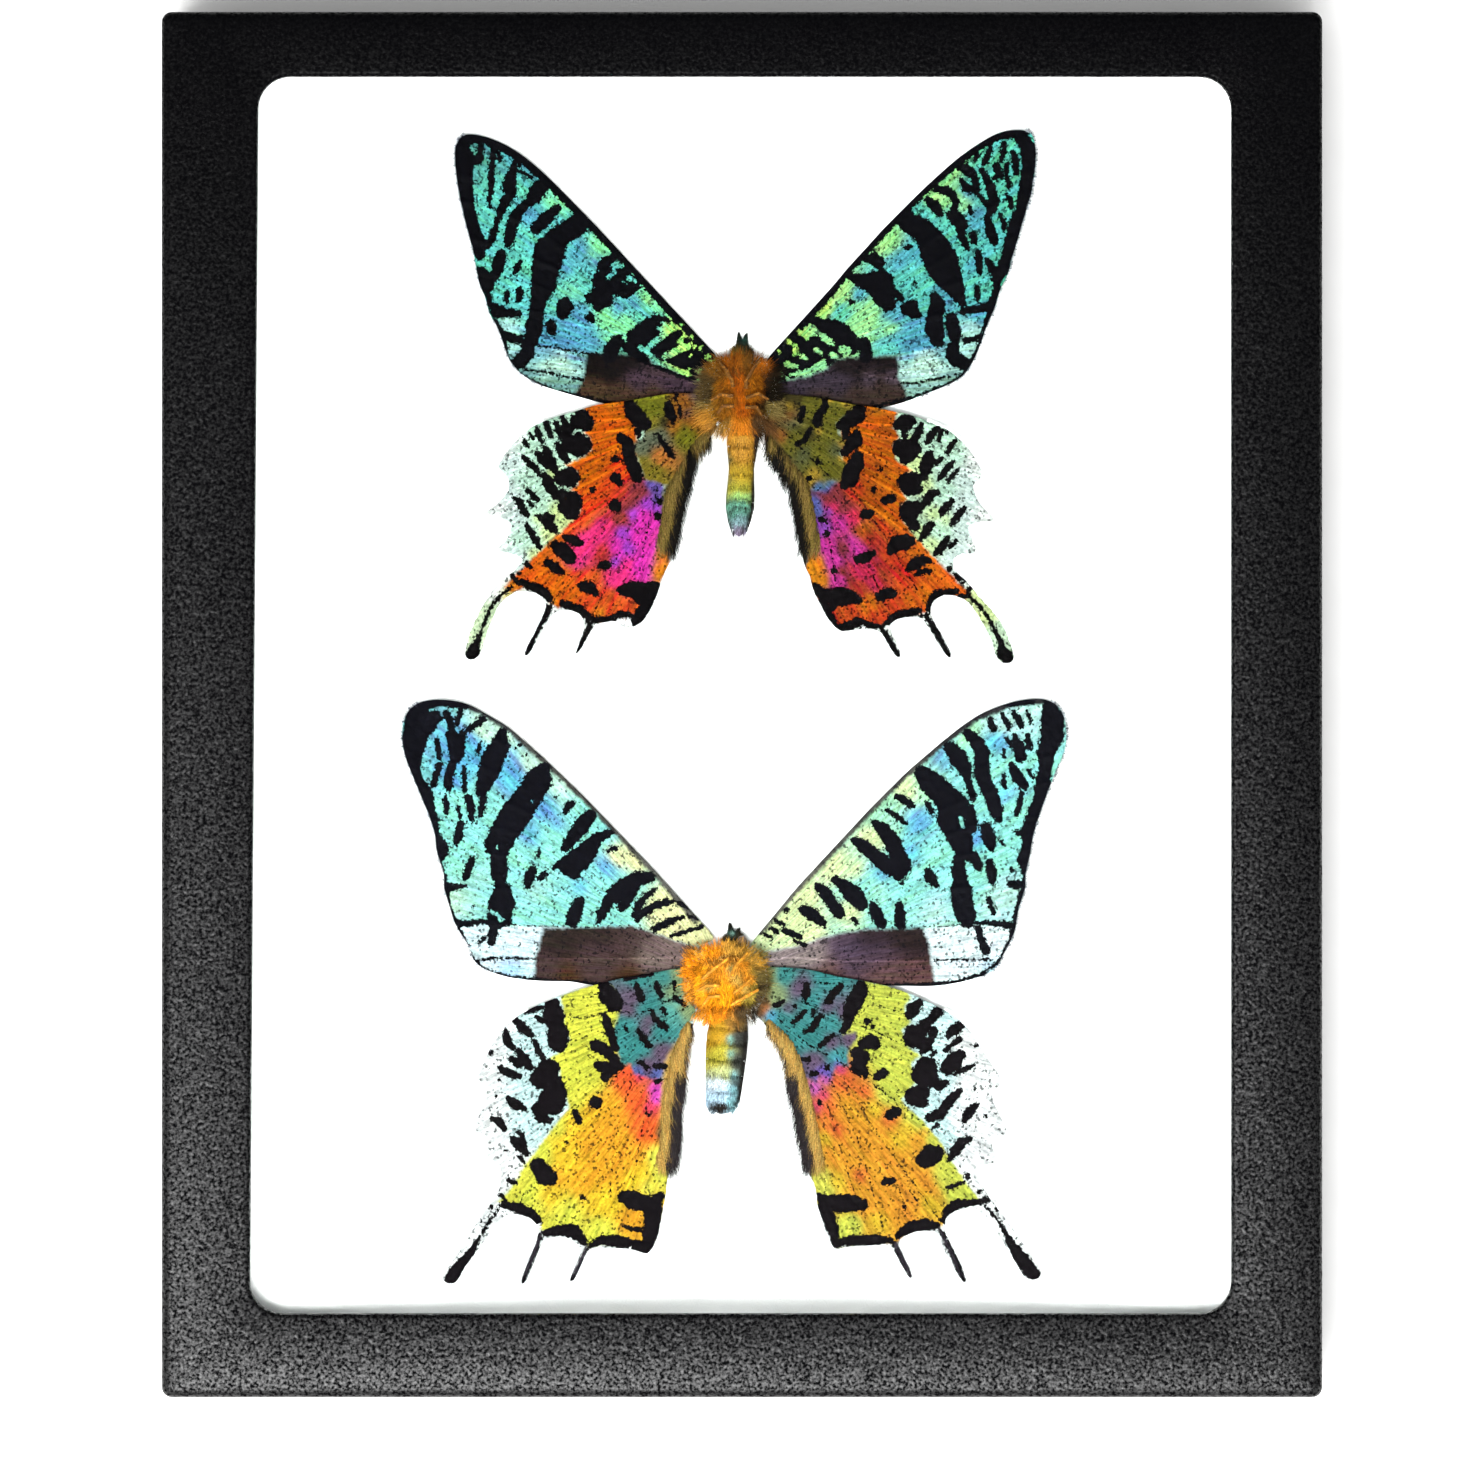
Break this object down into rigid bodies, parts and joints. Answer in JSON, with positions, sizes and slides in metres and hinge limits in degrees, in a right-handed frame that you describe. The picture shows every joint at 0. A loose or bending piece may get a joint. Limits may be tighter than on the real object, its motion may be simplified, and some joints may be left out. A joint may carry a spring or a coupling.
{
  "type": "framed sunset moth specimens",
  "caption": "Shallow black card case with a glazed lid and white batting, holding two spread moths shown from the underside.",
  "frame": {"origin": "middle of the back face, which the case rests on", "axes": "+X to the right and +Y to the top of the display, +Z out of the glass"},
  "size_m": [0.16, 0.191, 0.019],
  "materials": {
    "tray_card": "matte dark card",
    "black_card": "pebbled black paper over card, low sheen",
    "clear_glass": "clear float glass",
    "white_batting": "soft white fibre batting",
    "moth_fur": "short orange fur",
    "moth_leg": "scaled brown leg",
    "upper_forewing_scales": "iridescent scales, green on black",
    "upper_hindwing_scales": "iridescent scales, orange and magenta on olive",
    "lower_forewing_scales": "iridescent scales, turquoise on black",
    "lower_hindwing_scales": "iridescent scales, yellow and orange with teal"
  },
  "bodies": {
    "root": {"tray": "tray_card", "lid": "black_card", "glass_pane": "clear_glass", "batting": "white_batting", "upper_moth_body": "moth_fur", "upper_moth_left_forewing": "upper_forewing_scales", "upper_moth_right_forewing": "upper_forewing_scales", "upper_moth_left_hindwing": "upper_hindwing_scales", "upper_moth_right_hindwing": "upper_hindwing_scales", "upper_moth_left_foreleg": "moth_leg", "upper_moth_left_midleg": "moth_leg", "upper_moth_left_hindleg": "moth_leg", "upper_moth_right_foreleg": "moth_leg", "upper_moth_right_midleg": "moth_leg", "upper_moth_right_hindleg": "moth_leg", "lower_moth_body": "moth_fur", "lower_moth_left_forewing": "lower_forewing_scales", "lower_moth_right_forewing": "lower_forewing_scales", "lower_moth_left_hindwing": "lower_hindwing_scales", "lower_moth_right_hindwing": "lower_hindwing_scales", "lower_moth_left_foreleg": "moth_leg", "lower_moth_left_midleg": "moth_leg", "lower_moth_left_hindleg": "moth_leg", "lower_moth_right_foreleg": "moth_leg", "lower_moth_right_midleg": "moth_leg", "lower_moth_right_hindleg": "moth_leg"}
  },
  "joints": []
}
